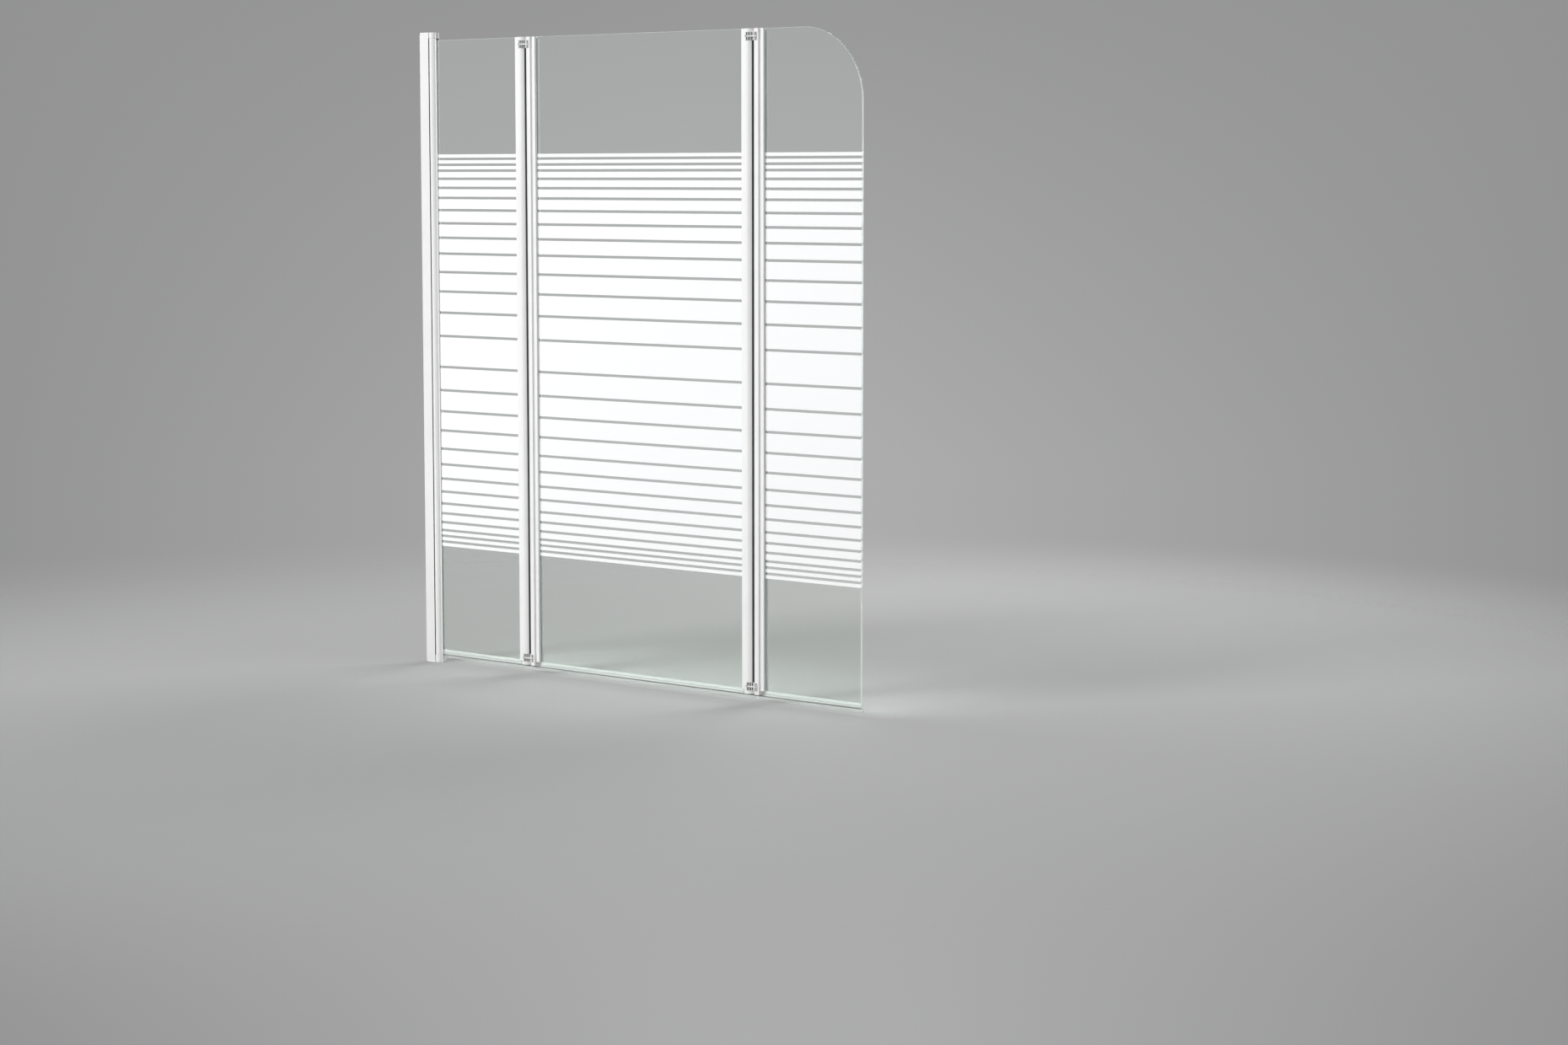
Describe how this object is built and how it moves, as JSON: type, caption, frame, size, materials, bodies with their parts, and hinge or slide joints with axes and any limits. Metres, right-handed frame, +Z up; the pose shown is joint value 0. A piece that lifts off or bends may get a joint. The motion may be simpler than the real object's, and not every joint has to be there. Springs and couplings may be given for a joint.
{
  "type": "folding bath screen",
  "caption": "Bath screen with a fixed pane, a wide folding pane and a round-cornered end pane, joined by geared double hinges between white profiles, with horizontal white printed bands.",
  "frame": {"origin": "foot of the wall profile, where the wall, the middle plane of the glass and the bath rim meet", "axes": "+X from the wall along the rim, +Y into the bath, +Z up"},
  "size_m": [1.236, 0.032, 1.4],
  "materials": {
    "white_powder_coat": "smooth gloss white powder coat on aluminium extrusion",
    "white_plastic": "moulded white plastic, satin to gloss",
    "clear_glass": "clear toughened safety glass with polished edges",
    "white_enamel": "opaque white ceramic print fired onto the glass",
    "black_rubber": "matt black sealing rubber",
    "pale_rubber": "satin pale grey glazing rubber",
    "clear_pvc": "clear soft PVC, slightly milky",
    "stainless_steel": "plain stainless steel"
  },
  "bodies": {
    "wall_side": {"wall_profile": "white_powder_coat", "wall_cap_top": "white_plastic", "wall_cap_bottom": "white_plastic", "wall_wiper_strips": "black_rubber", "clamp_screws": "stainless_steel", "clamp_nuts": "stainless_steel", "clamp_screw_covers": "white_plastic"},
    "fixed_panel": {"adjusting_profile": "white_powder_coat", "adjusting_gasket": "pale_rubber", "fixed_pane": "clear_glass", "fixed_pane_print": "white_enamel", "fixed_hinge_profile": "white_powder_coat", "fixed_hinge_gasket": "pale_rubber", "fixed_gear_top": "white_plastic", "fixed_gear_bottom": "white_plastic", "fixed_drip_seal": "clear_pvc", "fixed_set_screws": "stainless_steel", "first_gap_seal": "black_rubber"},
    "first_link": {"first_link_plate_top": "white_plastic", "first_link_plate_bottom": "white_plastic", "first_link_pins": "stainless_steel"},
    "middle_panel": {"middle_left_profile": "white_powder_coat", "middle_left_gasket": "pale_rubber", "middle_left_gear_top": "white_plastic", "middle_left_gear_bottom": "white_plastic", "middle_pane": "clear_glass", "middle_pane_print": "white_enamel", "middle_right_profile": "white_powder_coat", "middle_right_gasket": "pale_rubber", "middle_right_gear_top": "white_plastic", "middle_right_gear_bottom": "white_plastic", "middle_drip_seal": "clear_pvc", "middle_set_screws": "stainless_steel", "second_gap_seal": "black_rubber"},
    "second_link": {"second_link_plate_top": "white_plastic", "second_link_plate_bottom": "white_plastic", "second_link_pins": "stainless_steel"},
    "end_panel": {"end_profile": "white_powder_coat", "end_gasket": "pale_rubber", "end_gear_top": "white_plastic", "end_gear_bottom": "white_plastic", "end_pane": "clear_glass", "end_pane_print": "white_enamel", "end_drip_seal": "clear_pvc", "end_set_screws": "stainless_steel"}
  },
  "joints": [
    {"name": "width_adjustment", "type": "slide", "parent": "wall_side", "child": "fixed_panel", "axis": [1, 0, 0], "range_m": [-0.005, 0.005]},
    {"name": "first_hinge_wall_axis", "type": "hinge", "parent": "fixed_panel", "child": "first_link", "pos_m": [0.303, 0, 0.7], "axis": [0, 0, 1], "range_deg": [0, 55]},
    {"name": "first_hinge_pane_axis", "type": "hinge", "parent": "first_link", "child": "middle_panel", "pos_m": [0.329, 0, 0.7], "axis": [0, 0, 1], "range_deg": [0, 55]},
    {"name": "second_hinge_wall_axis", "type": "hinge", "parent": "middle_panel", "child": "second_link", "pos_m": [0.943, 0, 0.7], "axis": [0, 0, 1], "range_deg": [0, 90]},
    {"name": "second_hinge_pane_axis", "type": "hinge", "parent": "second_link", "child": "end_panel", "pos_m": [0.969, 0, 0.7], "axis": [0, 0, 1], "range_deg": [0, 90]}
  ],
  "couplings": [
    {"joint": "first_hinge_wall_axis", "follows": "first_hinge_pane_axis", "ratio": 1},
    {"joint": "second_hinge_wall_axis", "follows": "second_hinge_pane_axis", "ratio": 1}
  ]
}
